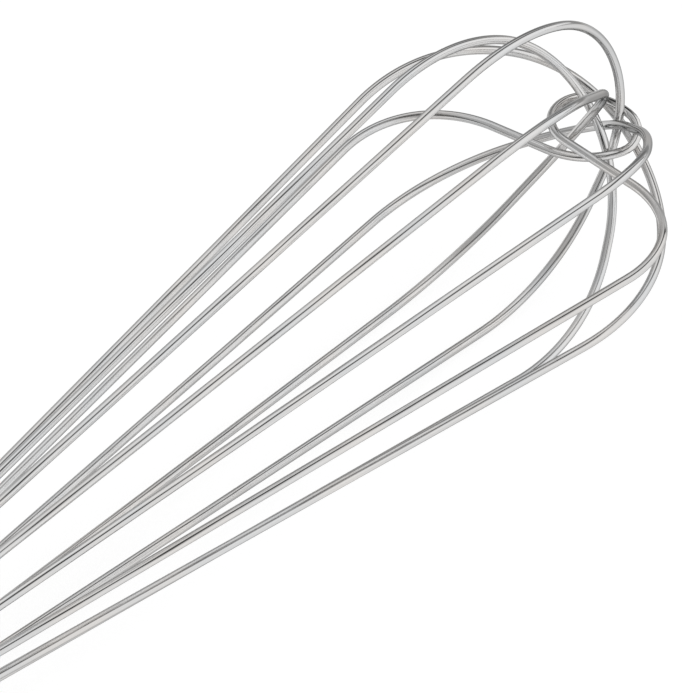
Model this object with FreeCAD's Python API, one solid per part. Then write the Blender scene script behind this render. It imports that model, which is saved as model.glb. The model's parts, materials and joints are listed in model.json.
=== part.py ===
"""Balloon whisk: six loops of round stainless wire held by a tubular steel handle.

The whisk is worked out in its own axis frame and then laid down on its side as it rests on a table.

Axis frame: X runs along the handle towards the tip, with X = 0 at the mouth of the handle.
A clock angle is measured round X, from +Z (up) towards +Y.
Table frame (what is written): the same axes, tilted until the handle's end and the lowest wires
touch Z = 0, with the origin under the middle of the whole object.  All sizes are in millimetres.
"""
import FreeCAD, Part
import math
import os
from FreeCAD import Vector

os.makedirs("parts", exist_ok=True)

# ---------------------------------------------------------------- wire cage
wire_diameter = 2.4        # round wire
cage_length = 290.0        # handle mouth to the nominal crown, where the loops cross
shoulder_radius = 50.0     # bend points at the widest place; the wire rounds off inside them
shoulder_drop = 31.5       # those bend points lie this far below the crown
mouth_turn = -5.0          # clock angle of wire slot 0, degrees
cage_twist = -18.0         # the shoulders are turned this far from their slots, degrees
slot_count = 12            # two legs for each loop, evenly spaced at the mouth
wire_tail = 36.0           # straight wire inside the handle
mouth_bend = 3.0           # each leg's bend at the mouth starts and ends this far from it

# ---------------------------------------------------------------- handle
tube_diameter = 23.0
tube_wall = 1.0
tube_length = 140.0
sleeve_wall = 1.2          # ring over the tube's mouth
sleeve_length = 14.0
sleeve_lip = 1.0           # how far its lip stands in front of the tube
guide_inset = 4.0          # guide disc, measured from the mouth
guide_thickness = 3.0
plug_length = 33.0         # filling behind the guide disc
cap_spigot = 8.0           # part of the end cap inside the tube
cap_height = 5.0           # its dome
cap_rim = 1.5              # straight band under the dome

# ---------------------------------------------------------------- hanging ring
lug_thickness = 3.0
lug_width = 10.0
lug_reach = 7.0            # hole centre behind the dome's top
lug_seat = 4.0             # depth of the lug in the cap
ring_wire = 3.0
ring_radius = 13.0         # centre line of the ring

# ---------------------------------------------------------------- fits
slide_clearance = 0.05     # radial, wire in the guide disc
bed_clearance = 0.02       # pressed, cast and soldered seats
mouth_play = 0.5           # radial, wires inside the tube's mouth
lip_play = 0.9             # radial, wires inside the sleeve's lip
ring_play = 0.5            # radial, ring wire in the lug's hole

# Each loop: (slot, turn, radius, drop) for one leg, the bends over the crown, then the other leg.
# turn, radius and drop are small differences from the nominal shoulder, in degrees and mm.
# A crown bend is (radius from the axis, angle from slot 0, height above the crown point).
LOOPS = {
    "wire_loop_1": ((0, 1, -0.5, -5.0), [(12.0, -5, -2.0), (14.5, 149, -5.5)], (6, -1, 1.0, -9.0)),
    "wire_loop_2": ((1, -2, 0.0, 4.0), [(28.3, 18.5, 3.1), (9.8, 176, 7.7)], (7, -4, -2.0, 5.0)),
    "wire_loop_3": ((2, -5, -5.0, -3.5), [(23.5, 60.5, -2.3), (19.7, -163, -0.4)], (8, -3, -2.0, -5.0)),
    "wire_loop_4": ((3, 1, -5.0, 2.0), [(21.6, 100.5, 7.4), (27.7, -138, 3.7)], (9, 3, -3.0, 1.5)),
    "tie_loop": ((4, -1, -2.5, 1.5),
                 [(12.9, -175.5, -10.8), (14.2, -135.5, 8.7), (14.3, 115, 5.1), (11.9, 92.5, -17.1),
                  (34.0, -78, -15.5)],
                 (10, 3, -1.0, 1.0)),
    "wire_loop_5": ((5, 2, -0.5, 1.0), [(20.8, 154, 6.7), (28.7, -48, -9.1)], (11, 4, 0.0, 5.0)),
}

wire_radius = wire_diameter / 2
tube_radius = tube_diameter / 2
bore_radius = tube_radius - tube_wall
mouth_radius = bore_radius - mouth_play - wire_radius      # circle that the wires stand on inside the handle
lip_radius = mouth_radius + wire_radius + lip_play
lug_hole = ring_wire + 2 * ring_play                       # hole diameter
heel_x = -tube_length - cap_rim       # lowest place of the handle as it lies
cap_end = heel_x - cap_height
hinge_x = cap_end - lug_reach


# ================================================================ points and paths
def at_clock(x, radius, clock):
    """Point at a clock angle (degrees) and radius round the axis."""
    a = math.radians(clock)
    return Vector(x, radius * math.sin(a), radius * math.cos(a))


def slot_angle(slot):
    return mouth_turn + slot * 360.0 / slot_count


def leg_points(slot, turn, radius, drop):
    """Tail end, mouth and shoulder of one leg."""
    angle = slot_angle(slot)
    tail = at_clock(-wire_tail, mouth_radius, angle)
    mouth = at_clock(0, mouth_radius, angle)
    shoulder = at_clock(cage_length - shoulder_drop + drop, shoulder_radius + radius, angle + cage_twist + turn)
    return [tail, mouth, shoulder]


def loop_points(leg_a, crown, leg_b):
    bends = [at_clock(cage_length + height, radius, mouth_turn + angle) for radius, angle, height in crown]
    return leg_points(*leg_a) + bends + leg_points(*leg_b)[::-1]


def bend_cuts(points):
    """How far from each bend point its arc starts: half the shorter run beside it.

    The mouth keeps its own short bend, and a leg gives a shoulder as much as the crown side does.
    """
    runs = [(b - a).Length for a, b in zip(points, points[1:])]
    cuts = [0.5 * min(before, after) for before, after in zip(runs, runs[1:])]
    cuts[0] = cuts[-1] = mouth_bend
    cuts[1] = 0.5 * runs[2]
    cuts[-2] = 0.5 * runs[-3]
    return cuts


def bend_arc(before, corner, after, cut):
    """Start, middle and end of the arc that touches both runs at a bend point."""
    u = (corner - before).normalize()
    v = (after - corner).normalize()
    start = corner - u * cut
    end = corner + v * cut
    half_turn = u.getAngle(v) / 2
    radius = cut / math.tan(half_turn)
    inward = (v - u).normalize()
    middle = corner + inward * (radius / math.cos(half_turn) - radius)
    return start, middle, end


def route(points):
    """Straight runs joined by tangent arcs, and their length."""
    edges = []
    here = points[0]
    for i, cut in enumerate(bend_cuts(points), start=1):
        start, middle, end = bend_arc(points[i - 1], points[i], points[i + 1], cut)
        if (start - here).Length > 1e-6:
            edges.append(Part.LineSegment(here, start).toShape())
        edges.append(Part.Arc(start, middle, end).toShape())
        here = end
    edges.append(Part.LineSegment(here, points[-1]).toShape())
    return Part.Wire(edges)


def wire_solid(points, radius):
    """A round wire swept along a route."""
    path = route(points)
    section = Part.Wire([Part.makeCircle(radius, points[0], points[1] - points[0])])
    solid = path.makePipeShell([section], True, True)
    wanted = math.pi * radius ** 2 * path.Length
    print("wire length %.1f, volume %.4f of the section times it" % (path.Length, solid.Volume / wanted))
    return solid


def turned(profile):
    """Solid of revolution round the axis from (x, radius) corners."""
    outline = Part.makePolygon([Vector(x, 0, r) for x, r in profile + profile[:1]])
    return Part.Face(outline).revolve(Vector(0, 0, 0), Vector(1, 0, 0), 360)


# ================================================================ pieces
def make_tube():
    tube = turned([(0, bore_radius), (0, tube_radius), (-tube_length, tube_radius), (-tube_length, bore_radius)])
    return tube


def make_sleeve():
    inner = tube_radius + bed_clearance
    outer = inner + sleeve_wall
    body = turned([(bed_clearance, lip_radius), (sleeve_lip, lip_radius), (sleeve_lip, outer), (-sleeve_length, outer),
                   (-sleeve_length, inner), (bed_clearance, inner)])
    rims = [e for e in body.Edges if e.Closed and abs(e.Length - 2 * math.pi * outer) < 1e-3]
    return body.makeFillet(0.45 * sleeve_wall, rims)


def wire_holes(x_from, x_to, clearance):
    """One straight hole for each wire slot."""
    holes = []
    for slot in range(slot_count):
        start = at_clock(x_from, mouth_radius, slot_angle(slot))
        holes.append(Part.makeCylinder(wire_radius + clearance, x_to - x_from, start, Vector(1, 0, 0)))
    return holes


def make_guide():
    x_front = -guide_inset
    x_back = x_front - guide_thickness
    disc = Part.makeCylinder(bore_radius - bed_clearance, guide_thickness, Vector(x_back, 0, 0), Vector(1, 0, 0))
    return disc.cut(wire_holes(x_back - 1, x_front + 1, slide_clearance))


def make_filling():
    x_front = -guide_inset - guide_thickness
    x_back = x_front - plug_length
    plug = Part.makeCylinder(bore_radius - bed_clearance, plug_length, Vector(x_back, 0, 0), Vector(1, 0, 0))
    return plug.cut(wire_holes(-wire_tail - bed_clearance, x_front + 1, bed_clearance))


def lug_outline(clearance):
    """Flat tab with a round end, before its hole, grown by a clearance."""
    half = lug_width / 2 + clearance
    seat_x = cap_end + lug_seat + clearance
    thick = lug_thickness + 2 * clearance
    bar = Part.makeBox(seat_x - hinge_x, thick, 2 * half, Vector(hinge_x, -thick / 2, -half))
    nose = Part.makeCylinder(half, thick, Vector(hinge_x, -thick / 2, 0), Vector(0, 1, 0))
    return bar.fuse(nose).removeSplitter()


def make_cap():
    spigot = bore_radius - bed_clearance
    sphere_radius = (tube_radius ** 2 + cap_height ** 2) / (2 * cap_height)
    half = math.asin(tube_radius / sphere_radius) / 2
    centre_x = cap_end + sphere_radius
    middle = Vector(centre_x - sphere_radius * math.cos(half), 0, sphere_radius * math.sin(half))
    corners = [Vector(-tube_length + cap_spigot, 0, 0), Vector(-tube_length + cap_spigot, 0, spigot),
               Vector(-tube_length, 0, spigot), Vector(-tube_length, 0, tube_radius), Vector(heel_x, 0, tube_radius)]
    top = Vector(cap_end, 0, 0)
    edges = [Part.LineSegment(a, b).toShape() for a, b in zip(corners, corners[1:])]
    edges.append(Part.Arc(corners[-1], middle, top).toShape())
    edges.append(Part.LineSegment(top, corners[0]).toShape())
    cap = Part.Face(Part.Wire(edges)).revolve(Vector(0, 0, 0), Vector(1, 0, 0), 360)
    return cap.cut(lug_outline(bed_clearance))


def make_lug():
    hole = Part.makeCylinder(lug_hole / 2, lug_thickness + 2, Vector(hinge_x, -lug_thickness / 2 - 1, 0), Vector(0, 1, 0))
    return lug_outline(0).cut(hole)


def make_ring(hang):
    """Ring through the lug's hole, hanging back and down at an angle below the axis, in degrees."""
    a = math.radians(hang)
    back = Vector(-math.cos(a), 0, -math.sin(a))
    normal = back.cross(Vector(0, 1, 0))
    centre = Vector(hinge_x, 0, 0) + back * ring_radius
    return Part.makeTorus(ring_radius, ring_wire / 2, centre, normal)


# ================================================================ how it rests
def resting_tilt(routes):
    """Angle (degrees) that lifts the tip until the lowest wire and the heel share one plane."""
    tilt = 0.0
    for path in routes:
        for p in path.discretize(Number=400):
            down = -(p.z + tube_radius)
            along = p.x - heel_x
            reach = math.hypot(down, along)
            if p.x > 0:
                tilt = max(tilt, math.atan2(down, along) + math.asin(wire_radius / reach))
    return math.degrees(tilt)


def ring_hang(tilt):
    """The ring lies back until it touches the same plane as the heel."""
    t = math.radians(tilt)
    height = tube_radius * math.cos(t) + (hinge_x - heel_x) * math.sin(t)
    return math.degrees(math.asin((height - ring_wire / 2) / (2 * ring_radius))) - tilt


def lay_down(shapes, tilt):
    """Tilt every shape, stand it on Z = 0 and bring the middle of the whole over the origin."""
    turn = FreeCAD.Placement(Vector(0, 0, 0), FreeCAD.Rotation(Vector(0, 1, 0), -tilt))
    for shape in shapes.values():
        shape.transformShape(turn.toMatrix(), True)
    box = Part.makeCompound(list(shapes.values())).optimalBoundingBox(False, False)
    shift = Vector(-(box.XMin + box.XMax) / 2, -(box.YMin + box.YMax) / 2, -box.ZMin)
    for shape in shapes.values():
        shape.translate(shift)
    return turn, shift


routes = {name: loop_points(*spec) for name, spec in LOOPS.items()}
tilt = resting_tilt([route(points) for points in routes.values()])
shapes = {name: wire_solid(points, wire_radius) for name, points in routes.items()}
shapes["handle_tube"] = make_tube()
shapes["neck_sleeve"] = make_sleeve()
shapes["guide_disc"] = make_guide()
shapes["filling"] = make_filling()
shapes["end_cap"] = make_cap()
shapes["hanging_lug"] = make_lug()
shapes["hang_ring"] = make_ring(ring_hang(tilt))

turn, shift = lay_down(shapes, tilt)
for label, x in (("mouth", 0.0), ("tube middle", -tube_length / 2), ("crown", cage_length), ("ring hinge", hinge_x)):
    place = turn.multVec(Vector(x, 0, 0)) + shift
    print("%s at %.4f %.4f %.4f" % (label, place.x, place.y, place.z))
print("tilt %.4f, ring hangs %.4f below the axis" % (tilt, ring_hang(tilt)))

for name, shape in shapes.items():
    solid = shape.Solids[0]
    solid.exportStep("parts/%s.step" % name)
    print(name, len(shape.Solids), "solid, valid", solid.isValid(), "%.1f mm3" % solid.Volume)
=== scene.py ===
# %% [markdown]
# # A long balloon whisk
#
# Six loops of round stainless wire, bound at the crown by the curl of one of them, and held by a plain
# tubular handle with a swinging ring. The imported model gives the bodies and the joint, and the sizes below
# repeat the ones that it was built from. This script makes the same pieces again with smoother surfaces and
# real finishes, and leaves each one on its body.

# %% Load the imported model
import json
import math
import bpy
import numpy as np
from mathutils import Matrix, Vector


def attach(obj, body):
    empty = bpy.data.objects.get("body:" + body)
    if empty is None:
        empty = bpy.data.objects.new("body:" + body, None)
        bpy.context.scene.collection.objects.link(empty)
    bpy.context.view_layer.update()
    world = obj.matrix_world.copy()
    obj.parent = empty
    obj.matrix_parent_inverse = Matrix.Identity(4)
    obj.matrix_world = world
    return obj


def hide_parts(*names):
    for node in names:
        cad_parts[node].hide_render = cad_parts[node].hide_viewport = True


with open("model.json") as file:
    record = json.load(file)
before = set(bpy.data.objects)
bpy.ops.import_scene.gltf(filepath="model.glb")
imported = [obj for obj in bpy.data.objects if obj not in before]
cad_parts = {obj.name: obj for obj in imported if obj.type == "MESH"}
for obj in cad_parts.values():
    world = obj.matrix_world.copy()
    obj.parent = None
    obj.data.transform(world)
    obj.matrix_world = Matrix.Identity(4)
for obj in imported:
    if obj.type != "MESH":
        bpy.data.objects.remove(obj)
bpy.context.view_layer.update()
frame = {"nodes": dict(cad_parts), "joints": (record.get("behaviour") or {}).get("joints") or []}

# %% [markdown]
# ## The whisk's own axis
#
# A whisk is easiest to describe along its own axis: X runs from the handle to the tip, with zero at the
# handle's mouth, and a clock angle goes round it. It then lies on the table, so everything is tilted a few
# degrees about Y. The ring's hinge is a point on the axis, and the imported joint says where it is, so it
# ties the two frames together.

# %% The sizes, in metres
MM = 0.001
WIRE = 2.4 * MM
CAGE_LENGTH = 290.0 * MM
SHOULDER_RADIUS = 50.0 * MM
SHOULDER_DROP = 31.5 * MM
MOUTH_TURN = -5.0
CAGE_TWIST = -18.0
SLOTS = 12
WIRE_TAIL = 36.0 * MM
MOUTH_BEND = 3.0 * MM
TUBE = 23.0 * MM
TUBE_WALL = 1.0 * MM
TUBE_LENGTH = 140.0 * MM
SLEEVE_WALL = 1.2 * MM
SLEEVE_LENGTH = 14.0 * MM
SLEEVE_LIP = 1.0 * MM
CAP_SPIGOT = 8.0 * MM
CAP_RIM = 1.5 * MM
CAP_HEIGHT = 5.0 * MM
LUG_THICK = 3.0 * MM
LUG_WIDTH = 10.0 * MM
LUG_REACH = 7.0 * MM
LUG_SEAT = 4.0 * MM
RING_WIRE = 3.0 * MM
RING_RADIUS = 13.0 * MM
BED_CLEARANCE = 0.02 * MM
MOUTH_PLAY = 0.5 * MM
LIP_PLAY = 0.9 * MM
RING_PLAY = 0.5 * MM
TUBE_RADIUS = TUBE / 2
BORE_RADIUS = TUBE_RADIUS - TUBE_WALL
MOUTH_RADIUS = BORE_RADIUS - MOUTH_PLAY - WIRE / 2
LIP_RADIUS = MOUTH_RADIUS + WIRE / 2 + LIP_PLAY
LUG_HOLE = RING_WIRE + 2 * RING_PLAY
HEEL_X = -TUBE_LENGTH - CAP_RIM
CAP_END = HEEL_X - CAP_HEIGHT
HINGE_X = CAP_END - LUG_REACH

# %% [markdown]
# ## Where the wires run
#
# Each loop is a list of bend points: its tail in the handle, the mouth, a shoulder at the widest place, the
# bends over the crown, and the same again down the other leg. The tie loop has five crown bends, which make
# its curl. The points are given round the axis, as a bending jig would be set out. The values in this table
# were found by a numeric fit and then rounded. They were not chosen by hand, and they do not follow from
# the sizes above: for another wire or another shoulder they have to be found again.

# %% The bend points of the six loops
LOOPS = {
    "wire_loop_1": ((0, 1, -0.5, -5.0), [(12.0, -5, -2.0), (14.5, 149, -5.5)], (6, -1, 1.0, -9.0)),
    "wire_loop_2": ((1, -2, 0.0, 4.0), [(28.3, 18.5, 3.1), (9.8, 176, 7.7)], (7, -4, -2.0, 5.0)),
    "wire_loop_3": ((2, -5, -5.0, -3.5), [(23.5, 60.5, -2.3), (19.7, -163, -0.4)], (8, -3, -2.0, -5.0)),
    "wire_loop_4": ((3, 1, -5.0, 2.0), [(21.6, 100.5, 7.4), (27.7, -138, 3.7)], (9, 3, -3.0, 1.5)),
    "tie_loop": ((4, -1, -2.5, 1.5),
                 [(12.9, -175.5, -10.8), (14.2, -135.5, 8.7), (14.3, 115, 5.1), (11.9, 92.5, -17.1),
                  (34.0, -78, -15.5)],
                 (10, 3, -1.0, 1.0)),
    "wire_loop_5": ((5, 2, -0.5, 1.0), [(20.8, 154, 6.7), (28.7, -48, -9.1)], (11, 4, 0.0, 5.0)),
}


def at_clock(x, radius, clock):
    """(x, radius sin clock, radius cos clock), with the clock angle in degrees from straight up."""
    a = np.radians(clock)
    return np.array([x, radius * np.sin(a), radius * np.cos(a)])


def leg_points(slot, turn, radius, drop):
    """Tail, mouth and shoulder of one leg, on the axis frame."""
    angle = MOUTH_TURN + slot * 360.0 / SLOTS
    shoulder_x = CAGE_LENGTH - SHOULDER_DROP + drop * MM
    return [at_clock(-WIRE_TAIL, MOUTH_RADIUS, angle),
            at_clock(0.0, MOUTH_RADIUS, angle),
            at_clock(shoulder_x, SHOULDER_RADIUS + radius * MM, angle + CAGE_TWIST + turn)]


def loop_points(leg_a, crown, leg_b):
    """All bend points of one loop, from tail to tail."""
    bends = [at_clock(CAGE_LENGTH + height * MM, radius * MM, MOUTH_TURN + angle)
             for radius, angle, height in crown]
    return np.array(leg_points(*leg_a) + bends + leg_points(*leg_b)[::-1])


corners = {name: loop_points(*spec) for name, spec in LOOPS.items()}
print("bend points", {name: len(points) for name, points in corners.items()})

# %% [markdown]
# ## From bend points to a smooth line
#
# A bent wire is straight runs joined by round bends. Each bend is an arc that touches the two runs beside
# it, so the line has no kink anywhere. The arc's centre and angle come from the two directions, and the
# points along it are worked out as one array.

# %% Straight runs and tangent arcs
LINE_STEP = 1.5 * MM


def bend_cuts(points):
    """Distance from each bend point to its arc's ends: half the shorter run beside it.

    The mouth has its own short bend, and a shoulder takes half of the run on its crown side.
    """
    runs = np.linalg.norm(np.diff(points, axis=0), axis=1)
    cuts = 0.5 * np.minimum(runs[:-1], runs[1:])
    cuts[[0, -1]] = MOUTH_BEND
    cuts[1], cuts[-2] = 0.5 * runs[2], 0.5 * runs[-3]
    return cuts


def arc_through(before, corner, after, cut, step=LINE_STEP):
    """Points start cos t + tangent sin t on the circle that touches both runs, cut away from the corner."""
    u = (corner - before) / np.linalg.norm(corner - before)
    v = (after - corner) / np.linalg.norm(after - corner)
    turn = math.acos(float(np.clip(u @ v, -1, 1)))
    radius = cut / math.tan(turn / 2)
    inward = (v - u) / np.linalg.norm(v - u)
    centre = corner + inward * radius / math.cos(turn / 2)
    t = np.linspace(0, turn, max(5, int(radius * turn / step) + 2))[:, None]
    return centre + (corner - u * cut - centre) * np.cos(t) + u * radius * np.sin(t)


def straight(start, end, step=6.0 * MM):
    """start + (end - start) s, with s from 0 to 1."""
    count = max(2, int(np.linalg.norm(end - start) / step) + 1)
    return start + (end - start) * np.linspace(0, 1, count)[:, None]


def smooth_line(points):
    """The whole centre line: straight runs between arcs, with points LINE_STEP apart on the arcs."""
    parts = [points[:1]]
    for i, cut in enumerate(bend_cuts(points), start=1):
        arc = arc_through(points[i - 1], points[i], points[i + 1], cut)
        parts += [straight(parts[-1][-1], arc[0]), arc]
    parts.append(straight(parts[-1][-1], points[-1]))
    line = np.concatenate(parts)
    keep = np.r_[True, np.linalg.norm(np.diff(line, axis=0), axis=1) > 1e-7]
    return line[keep]


lines = {name: smooth_line(points) for name, points in corners.items()}
for name, line in lines.items():
    length = float(np.linalg.norm(np.diff(line, axis=0), axis=1).sum())
    print(name, "is", round(length / MM, 1), "mm long")

# %% [markdown]
# ## How it lies
#
# The lowest wires and the heel of the handle touch the table. The tilt that does that is the largest of the
# angles that any point of a wire asks for, and it is worked out from the same centre lines.

# %% Tilt, and the move from the axis frame to the table
def resting_tilt(all_lines):
    """Largest angle under any wire point: atan(down / along) + asin(wire radius / reach)."""
    points = np.concatenate(all_lines)
    points = points[points[:, 0] > 0]
    down = -(points[:, 2] + TUBE_RADIUS)
    along = points[:, 0] - HEEL_X
    return float(np.max(np.arctan2(down, along) + np.arcsin(WIRE / 2 / np.hypot(down, along))))


TILT = resting_tilt(list(lines.values()))
tilt_turn = np.array([[math.cos(TILT), 0, -math.sin(TILT)], [0, 1, 0], [math.sin(TILT), 0, math.cos(TILT)]])
hinge = np.array(frame["joints"][0]["pos_m"])
shift = hinge - tilt_turn @ np.array([HINGE_X, 0, 0])


def lay(points):
    """Axis-frame points to the table: turn by the tilt, then shift."""
    return np.asarray(points) @ tilt_turn.T + shift


hinge_height = TUBE_RADIUS * math.cos(TILT) + (HINGE_X - HEEL_X) * math.sin(TILT)
RING_HANG = math.asin((hinge_height - RING_WIRE / 2) / (2 * RING_RADIUS)) - TILT
print("tilt %.3f degrees" % math.degrees(TILT))
print("ring hangs %.2f degrees below the axis" % math.degrees(RING_HANG))

# %% [markdown]
# ## The camera
#
# The whisk is seen from above and from beside its cage, with the tip leaning away, and from far enough away
# that its sides look nearly parallel. The view is set in the whisk's own terms: how steeply it crosses the
# frame, how much its tip leans away, and from which clock angle it is seen. These values come from the same
# fit as the bend points.

# %% Camera
CROSS = math.radians(37.6)        # slope of the whisk across the frame
LEAN = math.radians(22.0)         # the tip leans away from the viewer
VIEW_CLOCK = -31.0                # the viewer stands at this clock angle round the whisk
DISTANCE = 1.1
CROWN_RIGHT, CROWN_DOWN = 0.0705, 0.0612   # the crown stands right of and above the middle
LENS_RATIO, SENSOR = 6.1212, 36.0          # focal length over the frame's longer side, and that side in mm

towards = tilt_turn @ at_clock(0, 1, VIEW_CLOCK)          # across the axis, to the viewer
across = tilt_turn @ at_clock(0, 1, VIEW_CLOCK - 90)      # across the axis, down and right in the frame
tip = tilt_turn @ np.array([1.0, 0, 0])
rising = math.sin(LEAN) * towards + math.cos(LEAN) * tip  # the axis as it shows in the frame
right = math.sin(CROSS) * across + math.cos(CROSS) * rising
down = math.cos(CROSS) * across - math.sin(CROSS) * rising
forward = math.sin(LEAN) * tip - math.cos(LEAN) * towards
crown = lay([CAGE_LENGTH, 0, 0])
eye = crown - (CROWN_RIGHT * right - CROWN_DOWN * down + DISTANCE * forward)

camera_data = bpy.data.cameras.new("camera")
camera_data.sensor_width = SENSOR
camera_data.lens = SENSOR * LENS_RATIO
camera = bpy.data.objects.new("camera", camera_data)
bpy.context.scene.collection.objects.link(camera)
camera.matrix_world = Matrix.Translation(Vector(eye)) @ Matrix([right, -down, -forward]).transposed().to_4x4()
bpy.context.scene.camera = camera
roll = math.degrees(math.asin(float(right[2])))
print("eye at", eye.round(3), "roll", round(roll, 2), "lens", round(camera_data.lens, 1))

# %% [markdown]
# ## Surfaces from arrays
#
# A tube carried along a line, a profile turned round the axis and a flat tab are all grids of points that
# wrap round in one direction. They could be Blender's own curves and screws, but a formula on a grid gives
# clean quads, a pattern that follows the metal, and sizes that stay tied to the list above. One helper
# turns such a grid into a mesh and measures its volume, which comes out negative if the faces point
# inwards.

# %% From a grid of points to a mesh
def new_piece(name, verts, faces, uv=None):
    """Mesh object in the table frame; uv is one pair for each face corner."""
    mesh = bpy.data.meshes.new(name)
    mesh.from_pydata([tuple(v) for v in verts], [], [tuple(f) for f in faces])
    if uv is not None:
        layer = mesh.uv_layers.new(name="along")
        layer.data.foreach_set("uv", np.asarray(uv, np.float32).ravel())
    mesh.polygons.foreach_set("use_smooth", np.ones(len(mesh.polygons), bool))
    mesh.update()
    piece = bpy.data.objects.new(name, mesh)
    bpy.context.scene.collection.objects.link(piece)
    return piece


def grid_piece(name, grid, run, closed=False):
    """A grid (rows, columns, 3) on the axis frame whose columns wrap round.

    Rows wrap too if closed; otherwise each end is closed by a fan to the middle of its row.  run is the
    length along the rows: u of the map is run in metres, v goes from 0 to 1 round the columns.
    """
    rows, columns = grid.shape[:2]
    i, j = np.meshgrid(np.arange(rows if closed else rows - 1), np.arange(columns), indexing="ij")
    i, j = i.ravel(), j.ravel()
    k, n = (j + 1) % columns, (i + 1) % rows
    faces = np.stack([i * columns + j, i * columns + k, n * columns + k, n * columns + j], axis=1)
    u0, u1, v0, v1 = run[i], run[i + 1], j / columns, (j + 1) / columns
    uv = np.stack([u0, v0, u0, v1, u1, v1, u1, v0], axis=1).reshape(-1, 2)
    verts = grid.reshape(-1, 3)
    triangles = np.concatenate([faces[:, [0, 1, 2]], faces[:, [0, 2, 3]]])
    all_faces = faces.tolist()
    if not closed:
        verts = np.concatenate([verts, grid[:1].mean(1), grid[-1:].mean(1)])
        c = np.arange(columns)
        start = np.stack([c * 0 + len(verts) - 2, (c + 1) % columns, c], axis=1)
        base = (rows - 1) * columns
        end = np.stack([c * 0 + len(verts) - 1, base + c, base + (c + 1) % columns], axis=1)
        all_faces += start.tolist() + end.tolist()
        triangles = np.concatenate([triangles, start, end])
        fan_v = np.stack([c + 0.5, c + 1, c, c + 0.5, c, c + 1], axis=1).reshape(-1) / columns
        fan_u = np.repeat([run[0], run[-1]], 3 * columns)
        fan_uv = np.stack([fan_u, fan_v], axis=1)
        uv = np.concatenate([uv, fan_uv])
    verts = lay(verts)
    a, b, c = verts[triangles].transpose(1, 0, 2) - verts.mean(0)
    volume = float((a * np.cross(b, c)).sum() / 6)
    print("%-18s %6d faces  %9.1f mm3" % (name, len(all_faces), volume / MM ** 3))
    return new_piece(name, verts, all_faces, uv)


def along(points):
    """Running length of a line of points."""
    return np.r_[0, np.cumsum(np.linalg.norm(np.diff(points, axis=0), axis=1))]


# %% [markdown]
# ## The wire loops
#
# Round wire is a circle carried along the centre line. The circle must not spin on its way, or the drawn
# lines in the steel would wind round it, so each circle's first direction is the last one less its part
# along the new tangent.

# %% A tube carried along a line
def carried_frames(line):
    """Two normals at each point: the first is the last point's, less its part along the tangent."""
    tangents = np.gradient(line, axis=0)
    tangents /= np.linalg.norm(tangents, axis=1)[:, None]
    normals = np.empty_like(line)
    n = np.cross(tangents[0], [0.3, 0.5, 0.8])
    for i, t in enumerate(tangents):
        n = n - t * (n @ t)
        n /= np.linalg.norm(n)
        normals[i] = n
    return normals, np.cross(tangents, normals)


def tube_grid(line, radius, around=28):
    """point(i, a) = line_i + radius (normal_i cos a + second_i sin a)."""
    n, b = carried_frames(line)
    a = np.linspace(0, 2 * np.pi, around, endpoint=False)[:, None]
    return line[:, None] + radius * (n[:, None] * np.cos(a) + b[:, None] * np.sin(a))


def on_whisk(piece, slot, *nodes):
    """Hide the CAD nodes that a piece stands for and let it move with the whisk; slot, its finish, is not
    used.
    """
    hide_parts(*nodes)
    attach(piece, "whisk")
    return piece


wires = [on_whisk(grid_piece(name + "_wire", tube_grid(line, WIRE / 2), along(line)), "wire", name)
         for name, line in lines.items()]

# %% [markdown]
# ## Turned pieces: the handle tube, the sleeve and the end cap
#
# The handle is a tube with a sleeve at its mouth and a domed cap at its heel. All three are turned shapes,
# so each one is a profile of an x and a radius, carried round the axis. A sharp corner never survives
# polishing: each corner of a profile is rounded by an arc that touches both of its sides.

# %% Rounded profiles turned round the axis
def rounded(corners, cut, closed=True):
    """Profile (x, radius) whose corners are arcs; cut is how far each arc starts from its corner."""
    points = np.array([[x, 0.0, r] for x, r in corners])
    cut = np.broadcast_to(cut, len(points))
    parts = []
    for i, corner in enumerate(points):
        if not closed and i in (0, len(points) - 1):
            parts.append(corner[None])
        else:
            parts.append(arc_through(points[i - 1], corner, points[(i + 1) % len(points)], cut[i], 0.06 * MM))
    line = np.concatenate(parts)
    return line[:, [0, 2]]


def spaced(profile, step, closed):
    """The same profile with points no further apart than step."""
    ends = np.concatenate([profile[1:], profile[:1]]) if closed else profile[1:]
    pieces = []
    for a, b in zip(profile, ends):
        n = max(1, int(np.ceil(np.linalg.norm(b - a) / step)))
        pieces.append(a + (b - a) * (np.arange(n) / n)[:, None])
    if not closed:
        pieces.append(profile[-1:])
    return np.concatenate(pieces)


def turned_piece(name, profile, closed=True, around=96, step=4 * MM):
    """point(i, a) = (x_i, r_i sin a, r_i cos a)."""
    profile = spaced(profile, step, closed)
    a = np.linspace(0, 2 * np.pi, around, endpoint=False)
    x, r = profile[:, :1], profile[:, 1:]
    grid = np.stack([x + 0 * a, r * np.sin(a), r * np.cos(a)], axis=2)
    run = along(np.concatenate([profile, profile[:1]]) if closed else profile)
    return grid_piece(name, grid, run, closed)


MOUTH_ROUND, HIDDEN_ROUND, HEEL_ROUND = 0.3 * MM, 0.1 * MM, 0.22 * MM    # cuts at the tube's corners
SLEEVE_ROUND, SLEEVE_SEAT_ROUND = 0.5 * MM, 0.15 * MM                    # and at the sleeve's
FINE_STEP = 1.5 * MM

tube = turned_piece("handle_tube_shell", rounded(
    [(0, BORE_RADIUS), (-TUBE_LENGTH, BORE_RADIUS), (-TUBE_LENGTH, TUBE_RADIUS), (0, TUBE_RADIUS)],
    [MOUTH_ROUND, HIDDEN_ROUND, HEEL_ROUND, MOUTH_ROUND]))
on_whisk(tube, "handle", "handle_tube")

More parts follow.
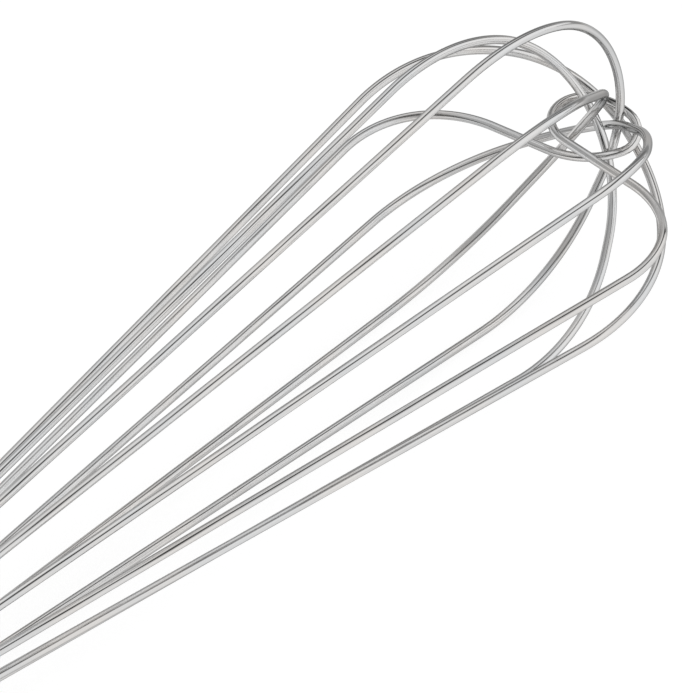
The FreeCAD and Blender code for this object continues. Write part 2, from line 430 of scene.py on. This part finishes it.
inner = TUBE_RADIUS + BED_CLEARANCE
outer = inner + SLEEVE_WALL
sleeve = turned_piece("neck_sleeve_ring", rounded(
    [(BED_CLEARANCE, LIP_RADIUS), (BED_CLEARANCE, inner), (-SLEEVE_LENGTH, inner), (-SLEEVE_LENGTH, outer),
     (SLEEVE_LIP, outer), (SLEEVE_LIP, LIP_RADIUS)],
    [SLEEVE_SEAT_ROUND, HIDDEN_ROUND, HIDDEN_ROUND, SLEEVE_ROUND, SLEEVE_ROUND, MOUTH_ROUND]),
    step=FINE_STEP)
on_whisk(sleeve, "fittings", "neck_sleeve")

# %% [markdown]
# The cap is pressed from one disc: a plug that fits the tube, a short straight rim, and a dome. The dome is
# part of a sphere through the rim and the top. Its profile starts and ends on the axis, where a fan of
# triangles closes it.

# %% The domed cap
RIM_GAP, POLE_GAP = 0.03, 0.012     # the dome's points stop this short of its rim and its top, in radians
PLUG_ROUND, SEAT_ROUND = 0.4 * MM, 0.08 * MM
sphere = (TUBE_RADIUS ** 2 + CAP_HEIGHT ** 2) / (2 * CAP_HEIGHT)
half_angle = math.asin(TUBE_RADIUS / sphere)
dome_angles = np.linspace(half_angle - RIM_GAP, POLE_GAP, 40)
dome = np.stack([CAP_END + sphere - sphere * np.cos(dome_angles), sphere * np.sin(dome_angles)], axis=1)
spigot = BORE_RADIUS - BED_CLEARANCE
plug_x = -TUBE_LENGTH + CAP_SPIGOT
rim_side = rounded([(plug_x, 0.2 * MM), (plug_x, spigot), (-TUBE_LENGTH, spigot), (-TUBE_LENGTH, TUBE_RADIUS),
                    (HEEL_X, TUBE_RADIUS), tuple(dome[3])],
                   [0, PLUG_ROUND, SEAT_ROUND, HEEL_ROUND, MOUTH_ROUND, 0], closed=False)
cap = turned_piece("end_cap_dome", np.concatenate([rim_side, dome[4:]]), closed=False, step=FINE_STEP)
on_whisk(cap, "fittings", "end_cap")

# %% [markdown]
# ## The hanging lug and its ring
#
# The lug is a flat tab with a round nose, brazed into the cap, and a hole for the ring. Seen from its hole
# it is a band: along each direction the metal runs from the hole's edge to the outer edge. So its surface
# is a small rounded section, carried once round the hole and stretched between the two edges.

# %% A flat tab round a hole
def lug_surface(around=160, corner=0.45 * MM):
    """point(t, s) = hinge + radius(t, s) (cos t, sin t), at the height that s gives.

    t is a direction from the hole.  s runs up the outer edge, in over the top face, down the hole's wall and
    back underneath, with each edge a quarter circle.
    """
    t = np.linspace(0, 2 * np.pi, around, endpoint=False)
    forward, sideways = np.cos(t), np.sin(t)
    half, high = LUG_WIDTH / 2, LUG_THICK / 2
    base = CAP_END + LUG_SEAT - HINGE_X
    to_side = half / np.maximum(np.abs(sideways), 1e-6)
    to_base = base / np.maximum(forward, 1e-6)
    reach = np.where(forward > 0, np.minimum(to_side, to_base), half)[:, None]
    q = np.linspace(0, np.pi / 2, 6)
    back = corner * (1 - np.cos(q))                 # how far the metal draws back from its edge
    rise = high - corner * (1 - np.sin(q))          # and how high it is there
    drawn = np.concatenate([back, back[::-1], back, back[::-1]])
    y = np.concatenate([rise, rise[::-1], -rise, -rise[::-1]])
    at_hole = np.repeat([False, True, True, False], len(q))
    radius = np.where(at_hole, LUG_HOLE / 2 + drawn, reach - drawn)
    x = HINGE_X + radius * forward[:, None]
    z = radius * sideways[:, None]
    return np.stack([x, np.broadcast_to(y, x.shape), z], axis=2)


def looped_piece(name, grid):
    """A grid whose rows close on themselves; its run is the length round its first column."""
    return grid_piece(name, grid, along(np.concatenate([grid[:, 0], grid[:1, 0]])), closed=True)


lug = on_whisk(looped_piece("hanging_lug_tab", lug_surface()), "fittings", "hanging_lug")

# %% [markdown]
# Where the lug enters the dome, brazing metal leaves a small soft bead. Its centre line is the lug's
# outline laid on the dome, which is a rounded oblong, and its radius wavers a little, because a bead is fed
# by hand.

# %% The brazed bead
def bead_surface(count=180, around=14, size=0.55 * MM):
    """Circle of a wavering radius carried round an oblong.

    centre(t) has y and z on the lug's outline and x on the dome above them.
    """
    t = np.linspace(0, 2 * np.pi, count, endpoint=False)
    y = (LUG_THICK / 2) * np.clip(1.9 * np.sin(t), -1, 1)
    z = (LUG_WIDTH / 2) * np.sign(np.cos(t)) * np.abs(np.cos(t)) ** 0.7
    x = CAP_END + sphere - np.sqrt(sphere ** 2 - y ** 2 - z ** 2)
    centre = np.stack([x, y, z], axis=1)
    tangent = np.roll(centre, -1, axis=0) - np.roll(centre, 1, axis=0)
    tangent /= np.linalg.norm(tangent, axis=1)[:, None]
    up = np.stack([x - CAP_END - sphere, y, z], axis=1) / sphere
    side = np.cross(tangent, up)
    a = np.linspace(0, 2 * np.pi, around, endpoint=False)[:, None]
    radius = size * (1 + 0.08 * np.sin(23 * t) + 0.05 * np.sin(9 * t + 1))[:, None, None]
    return centre[:, None] + radius * (up[:, None] * np.cos(a) + side[:, None] * np.sin(a))


bead = looped_piece("lug_braze_bead", bead_surface())
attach(bead, "whisk")

# %% [markdown]
# The ring is 3 mm wire bent round and butt-welded. Grinding leaves the weld a hair thicker than the wire,
# so the radius swells there by a soft bump. The ring hangs through the lug's hole and lies back until it
# touches the table, and it rides on its own body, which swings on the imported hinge.

# %% The ring and its weld
def ring_surface(count=240, around=32, swell=0.07 * MM):
    """centre(t) = hinge + ring radius (back (1 + cos t) + side sin t).

    The radius is the wire's plus swell exp(-((t - weld) / width)^2).
    """
    t = np.linspace(0, 2 * np.pi, count, endpoint=False)[:, None]
    back = np.array([-math.cos(RING_HANG), 0, -math.sin(RING_HANG)])
    side = np.array([0.0, 1.0, 0.0])
    outward = back * np.cos(t) + side * np.sin(t)
    centre = np.array([HINGE_X, 0, 0]) + RING_RADIUS * (back + outward)
    normal = np.cross(back, side)
    a = np.linspace(0, 2 * np.pi, around, endpoint=False)[:, None]
    weld, width = math.radians(115), 0.055
    radius = (RING_WIRE / 2 + swell * np.exp(-((t - weld) / width) ** 2))[:, :, None]
    return centre[:, None] + radius * (outward[:, None] * np.cos(a) + normal * np.sin(a))


ring = looped_piece("hang_ring_wire", ring_surface())
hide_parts("hang_ring")
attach(ring, "ring")

# %% [markdown]
# ## Finishes
#
# Every piece of this whisk is stainless steel, but no two are finished alike: the wire is drawn through a
# die, the tube is brushed round, and the fittings are polished. Two effects are common to all of them, so
# each one is a node group. The first makes fine lines that run along or round a piece. It reads the piece's
# own map, whose u is metres along and v is the turn, and wraps v round a circle so that no seam shows.

# %% Node helpers
def new_group(name, inputs, outputs):
    """Shader node group with named float (or vector) inputs and outputs."""
    group = bpy.data.node_groups.new(name, "ShaderNodeTree")
    for label, kind, value in inputs:
        socket = group.interface.new_socket(label, in_out="INPUT", socket_type="NodeSocket" + kind)
        if kind == "Float":
            socket.default_value = value
    for label, kind in outputs:
        group.interface.new_socket(label, in_out="OUTPUT", socket_type="NodeSocket" + kind)
    return group, group.nodes.new("NodeGroupInput"), group.nodes.new("NodeGroupOutput")


def put(socket, source):
    """Link an output to an input socket, or set the socket's own value."""
    if hasattr(source, "is_output"):
        socket.id_data.links.new(source, socket)
    else:
        socket.default_value = source


def add(tree, kind, sources=(), named=None, **settings):
    """Add a node, set its properties, then fill its sockets: sources in order, named by their labels.

    A source of None leaves its socket alone.
    """
    node = tree.nodes.new("ShaderNode" + kind)
    for key, value in settings.items():
        setattr(node, key, value)
    for socket, source in zip(node.inputs, sources):
        if source is not None:
            put(socket, source)
    for label, source in (named or {}).items():
        put(node.inputs[label], source)
    return node


def maths(tree, operation, *sources):
    """Output of one Math node."""
    return add(tree, "Math", sources, operation=operation).outputs[0]


def mapped(tree, value, low, high, start, end, interpolation="LINEAR"):
    """value taken from low..high to start..end."""
    return add(tree, "MapRange", [value, low, high, start, end], interpolation_type=interpolation).outputs[0]


# %% [markdown]
# Fine lines run along the metal. One shared group lays stretched noise over a piece's own around-and-along
# map and gives back the lines, a broad change of tone and a slow sway of the surface's slope.

# %% Fine lines in the metal
lines_group, given, result = new_group(
    "fine_metal_lines",
    [("Map", "Vector", None), ("Around", "Float", 4.0), ("Along", "Float", 20.0), ("Detail", "Float", 3.0)],
    [("Lines", "Float"), ("Broad", "Float"), ("Sway", "Float")])
SLOW_AROUND, SLOW_ALONG = 0.45, 26.0      # the sway's own scale, the same for every piece
split = add(lines_group, "SeparateXYZ", [given.outputs["Map"]])
turn = maths(lines_group, "MULTIPLY", split.outputs["Y"], 2 * math.pi)
cosine, sine = maths(lines_group, "COSINE", turn), maths(lines_group, "SINE", turn)


def wrapped(around, along_scale):
    """The map's turn laid round a circle of the given size, and its length stretched."""
    wide, deep = maths(lines_group, "MULTIPLY", cosine, around), maths(lines_group, "MULTIPLY", sine, around)
    far = maths(lines_group, "MULTIPLY", split.outputs["X"], along_scale)
    return add(lines_group, "CombineXYZ", [wide, deep, far]).outputs[0]


spot = wrapped(given.outputs["Around"], given.outputs["Along"])
fine = add(lines_group, "TexNoise", named={"Vector": spot, "Scale": 1.0, "Detail": given.outputs["Detail"],
                                           "Roughness": 0.65})
third = add(lines_group, "VectorMath", named={"Vector": spot, "Scale": 0.3}, operation="SCALE")
broad = add(lines_group, "TexNoise", named={"Vector": third.outputs[0], "Scale": 1.0, "Detail": 1.0})
slow = wrapped(SLOW_AROUND, SLOW_ALONG)
sway = add(lines_group, "TexNoise", named={"Vector": slow, "Scale": 1.0, "Detail": 1.0})
for label, noise in (("Lines", fine), ("Broad", broad), ("Sway", sway)):
    put(result.inputs[label], noise.outputs["Fac"])

# %% [markdown]
# The second effect is the thin film that handling and washing leave: soft patches a centimetre or two
# across that are a touch duller, and a touch warmer or cooler. It reads Object coordinates, because a film
# doesn't follow the metal's own direction.

# %% Handling film
film_group, given, result = new_group(
    "handling_film", [("Place", "Vector", None), ("Scale", "Float", 60.0)],
    [("Patches", "Float"), ("Warmth", "Float")])
place, scale = given.outputs["Place"], given.outputs["Scale"]
patches = add(film_group, "TexNoise", named={"Vector": place, "Scale": scale, "Detail": 4.0,
                                             "Distortion": 0.4})
moved = add(film_group, "VectorMath", [place, (3.1, 1.7, 5.3)], operation="ADD")
warmth = add(film_group, "TexNoise", named={"Vector": moved.outputs[0], "Scale": scale, "Detail": 2.0})
put(result.inputs["Patches"], patches.outputs["Fac"])
put(result.inputs["Warmth"], warmth.outputs["Fac"])

# %% [markdown]
# A steel material then differs only in how its lines run, how deep they are, and how bright the polish is.
# The steel's own colour is set by its warmth patches; the darker colour that metal shows at a glancing
# angle is the shader's specular tint, which is set on the shader itself.

# %% Steel
def new_material(name):
    """An empty Principled material: the material, its tree and its shader."""
    material = bpy.data.materials.new(name)
    material.use_nodes = True
    return material, material.node_tree, material.node_tree.nodes["Principled BSDF"]


def two_tone(tree, value, low, high, first, second):
    """Colour that goes from first to second while value goes from low to high."""
    ramp = add(tree, "ValToRGB", [value])
    for element, position, colour in zip(ramp.color_ramp.elements, (low, high), (first, second)):
        element.position, element.color = position, (*colour, 1)
    return ramp.outputs["Color"]


def steel(name, around, along_scale, depth, cool, warm, rough, spread,
          tint=0.6, film=60.0, sway=0.0, shade=0.06):
    """Principled steel: lines drive roughness and a bump of the given depth.  Film drives both colours' mix
    and some more roughness.

    sway is the depth of the slow unevenness that makes a reflected line wander along a hand-bent wire, and
    shade is how far the broad lines lighten or darken the colour.
    """
    material, tree, shader = new_material(name)
    uv = add(tree, "UVMap", uv_map="along").outputs["UV"]
    place = add(tree, "TexCoord").outputs["Object"]
    lines_node = add(tree, "Group", node_tree=lines_group)
    for label, source in (("Map", uv), ("Around", around), ("Along", along_scale)):
        put(lines_node.inputs[label], source)
    film_node = add(tree, "Group", node_tree=film_group)
    put(film_node.inputs["Place"], place)
    put(film_node.inputs["Scale"], film)
    colour = two_tone(tree, film_node.outputs["Warmth"], 0.35, 0.65, cool, warm)
    tone = mapped(tree, lines_node.outputs["Broad"], 0.3, 0.7, 1.0 - shade, 1.0 + shade)
    shaded = add(tree, "VectorMath", named={"Vector": colour, "Scale": tone}, operation="SCALE")
    by_lines = mapped(tree, lines_node.outputs["Lines"], 0.3, 0.7, rough - spread, rough + spread)
    by_film = mapped(tree, film_node.outputs["Patches"], 0.4, 0.75, 0.0, 0.04)
    bump = add(tree, "Bump", named={"Strength": 1.0, "Distance": depth,
                                    "Height": lines_node.outputs["Lines"]})
    if sway:
        uneven = add(tree, "Bump", named={"Strength": 1.0, "Distance": sway,
                                          "Height": lines_node.outputs["Sway"]})
        put(bump.inputs["Normal"], uneven.outputs[0])
    put(shader.inputs["Base Color"], shaded.outputs[0])
    put(shader.inputs["Roughness"], maths(tree, "ADD", by_lines, by_film))
    put(shader.inputs["Normal"], bump.outputs[0])
    put(shader.inputs["Metallic"], 1.0)
    put(shader.inputs["Specular Tint"], (tint, tint, tint, 1))
    return material


COOL, WARM = (0.685, 0.69, 0.695), (0.73, 0.712, 0.695)
drawn_wire = steel("drawn_wire", 6.0, 20.0, 0.010 * MM, COOL, WARM, 0.06, 0.03, tint=0.45, sway=0.45 * MM)
ring_steel = steel("ring_wire_steel", 6.0, 25.0, 0.010 * MM, COOL, WARM, 0.14, 0.04, sway=0.2 * MM)
brushed_round = steel("brushed_round_tube", 1.2, 7500.0, 0.004 * MM, COOL, WARM, 0.24, 0.04,
                      film=35.0, shade=0.025)
polished = steel("polished_fitting", 1.5, 3000.0, 0.0015 * MM, COOL, WARM, 0.12, 0.03, film=45.0)
braze = steel("braze_metal", 3.0, 900.0, 0.02 * MM, (0.66, 0.63, 0.57), (0.70, 0.64, 0.52), 0.26, 0.06)


def dress(pieces, material):
    """One material for each piece; a CAD node keeps its mesh and takes the material in its slot."""
    for piece in pieces:
        if piece.material_slots:
            piece.material_slots[0].material = material
        else:
            piece.data.materials.append(material)


dress(wires, drawn_wire)
dress([tube], brushed_round)
dress([sleeve, cap, lug], polished)
dress([bead], braze)
dress([ring], ring_steel)

# %% [markdown]
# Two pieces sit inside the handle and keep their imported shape, because nothing rounds them off: the guide
# disc that spaces the wires, and the filling behind it that seals the tube. The disc is stamped sheet, dull
# and a little mottled; the filling is dark cast resin with small pits.

# %% The two pieces inside the handle
def inside_material(name, dark, light, metallic, rough, grain, pit_depth):
    """Grain from two noises on Object coordinates: one for colour and roughness, one for small pits."""
    material, tree, shader = new_material(name)
    place = add(tree, "TexCoord").outputs["Object"]
    cloud = add(tree, "TexNoise", named={"Vector": place, "Scale": grain, "Detail": 5.0}).outputs["Fac"]
    pits = add(tree, "TexVoronoi", named={"Vector": place, "Scale": grain * 6}).outputs["Distance"]
    cupped = mapped(tree, pits, 0.0, 0.35, 0.0, 1.0)
    bump = add(tree, "Bump", named={"Distance": pit_depth, "Height": cupped})
    put(shader.inputs["Base Color"], two_tone(tree, cloud, 0.3, 0.7, dark, light))
    put(shader.inputs["Roughness"], mapped(tree, cloud, 0.3, 0.7, rough - 0.08, rough + 0.08))
    put(shader.inputs["Normal"], bump.outputs[0])
    put(shader.inputs["Metallic"], metallic)
    return material


dress([frame["nodes"]["guide_disc"]],
      inside_material("stamped_disc", (0.46, 0.46, 0.455), (0.58, 0.575, 0.565), 1.0, 0.38, 260.0, 0.02 * MM))
dress([frame["nodes"]["filling"]],
      inside_material("cast_resin", (0.012, 0.012, 0.013), (0.035, 0.034, 0.033), 0.0, 0.5, 180.0, 0.05 * MM))

# %% [markdown]
# ## Studio
#
# Bright wire shows its surroundings, so the surroundings are what is designed here. The whisk lies on a white
# sheet with a painted glow, like a light table, so no hard shadow falls. In the wire's reflection the glow
# carries painted shade: it is painted greyer just under the whisk, and that draws the soft grey edge of each
# wire. It is also painted dimmer past the tip's far side, which darkens the outer edge of the crown's bends.

# %% Floor
# Glow levels of the sheet: the camera sees it evenly bright, and reflections see it with painted shade under
# the whisk and past the tip
UNDER_PAINTED_SHADE, OPEN_SHEET, SEEN_SHEET, PAST_TIP_PAINTED_SHADE = 0.5, 0.76, 0.82, 0.3
UNDER_WIDTH = 0.07                          # metres to the side, where the sheet is fully bright again
CORNER_START, CORNER_END = 0.45, 0.8        # x + y in metres, over which the sheet dims past the tip
HALF_SHEET = 3.0
floor = new_piece("floor", [(-HALF_SHEET, -HALF_SHEET, 0), (HALF_SHEET, -HALF_SHEET, 0),
                            (HALF_SHEET, HALF_SHEET, 0), (-HALF_SHEET, HALF_SHEET, 0)], [(0, 1, 2, 3)])
paper, sheet, sheet_shader = new_material("light_table_painted_shade")
spot = add(sheet, "SeparateXYZ", [add(sheet, "TexCoord").outputs["Object"]])
aside = maths(sheet, "ABSOLUTE", spot.outputs["Y"])
# painted shade: the glow that reflections see drops to a darker grey under the whisk
under = mapped(sheet, aside, 0.0, UNDER_WIDTH, UNDER_PAINTED_SHADE, OPEN_SHEET, "SMOOTHSTEP")
corner = maths(sheet, "ADD", spot.outputs["X"], spot.outputs["Y"])
# painted shade: the glow that reflections see dims past the tip's far side
painted_shade_past_tip = mapped(sheet, corner, CORNER_START, CORNER_END, 1.0, PAST_TIP_PAINTED_SHADE, "SMOOTHSTEP")
from_camera = add(sheet, "LightPath").outputs["Is Camera Ray"]
# camera rays see the even sheet, and all other rays see the glow with its painted shade
glow_with_painted_shade = add(sheet, "Mix", [from_camera, None, maths(sheet, "MULTIPLY", under, painted_shade_past_tip), SEEN_SHEET],
           data_type="FLOAT").outputs[0]
put(sheet_shader.inputs["Emission Color"], add(sheet, "CombineColor", [glow_with_painted_shade] * 3).outputs[0])
put(sheet_shader.inputs["Emission Strength"], 1.0)
put(sheet_shader.inputs["Base Color"], (0.3, 0.3, 0.3, 1))
put(sheet_shader.inputs["Roughness"], 0.9)
put(sheet_shader.inputs["Specular IOR Level"], 0.0)
dress([floor], paper)

# %% [markdown]
# The room is bright all round, darker behind the handle, on the far side and past the tip, and one soft dark
# band crosses it overhead, from the handle's near side to the tip's far side. The band is what draws a thin
# dark line along every wire. It lies at an angle round X that grows with the direction's own x, and it
# fades as a bell curve. The camera sees a plain pale backdrop beyond the sheet.

# %% The room, by direction
HANDLE_END, TIP_END, OPEN_ROOM, FAR_ROOM, BEYOND = 0.5, 0.3, 1.03, 0.62, 0.97
BAND_ANGLE, BAND_SLANT, BAND_WIDTH, BAND_DARK = math.radians(66), math.radians(52), math.radians(16), 0.0
TIP_SHARE = 0.35                                # how much x and y each count towards the tip's far side
world = bpy.data.worlds.new("studio")
bpy.context.scene.world = world
world.use_nodes = True
sky = world.node_tree
direction = add(sky, "SeparateXYZ", [add(sky, "TexCoord").outputs["Generated"]])
dx, dy, dz = (direction.outputs[k] for k in "XYZ")
ends = mapped(sky, dx, -0.5, 0.1, HANDLE_END, 1.0, "SMOOTHSTEP")
far_side = mapped(sky, dy, 0.3, 0.95, OPEN_ROOM, FAR_ROOM, "SMOOTHSTEP")
tip_far = maths(sky, "MULTIPLY_ADD", dx, TIP_SHARE, maths(sky, "MULTIPLY", dy, TIP_SHARE))
tip_end = mapped(sky, tip_far, 0.36, 0.48, 1.0, TIP_END, "SMOOTHSTEP")
open_room = maths(sky, "MULTIPLY", maths(sky, "MULTIPLY", ends, tip_end), far_side)
round_x = maths(sky, "ARCTAN2", dz, maths(sky, "MULTIPLY", dy, -1.0))
middle = maths(sky, "MULTIPLY_ADD", dx, BAND_SLANT, BAND_ANGLE)
off = maths(sky, "DIVIDE", maths(sky, "SUBTRACT", round_x, middle), BAND_WIDTH)
bell = maths(sky, "POWER", math.exp(-1.0), maths(sky, "MULTIPLY", off, off))
room = add(sky, "Mix", [bell, None, open_room, BAND_DARK], data_type="FLOAT").outputs[0]
from_camera = add(sky, "LightPath").outputs["Is Camera Ray"]
seen = add(sky, "Mix", [from_camera, None, room, BEYOND], data_type="FLOAT").outputs[0]
put(sky.nodes["Background"].inputs["Strength"], seen)
put(sky.nodes["Background"].inputs["Color"], (1, 1, 1, 1))

# %% [markdown]
# One wide, weak lamp high on the near side grounds the whisk on the sheet. Reflections and the camera do
# not see it. The Standard view shows each tone as the scene makes it.

# %% A soft lamp that only grounds the whisk
LAMP_PLACE, LAMP_SIZE, LAMP_POWER = Vector((-0.6, -0.8, 1.6)), 1.6, 6.0
lamp_data = bpy.data.lights.new("soft_lamp", "AREA")
lamp_data.size = LAMP_SIZE
lamp_data.energy = LAMP_POWER
lamp = bpy.data.objects.new("soft_lamp", lamp_data)
bpy.context.scene.collection.objects.link(lamp)
lamp.matrix_world = Matrix.Translation(LAMP_PLACE) @ LAMP_PLACE.to_track_quat("Z", "Y").to_matrix().to_4x4()
lamp.visible_glossy = False
lamp.visible_camera = False
bpy.context.scene.view_settings.view_transform = "Standard"
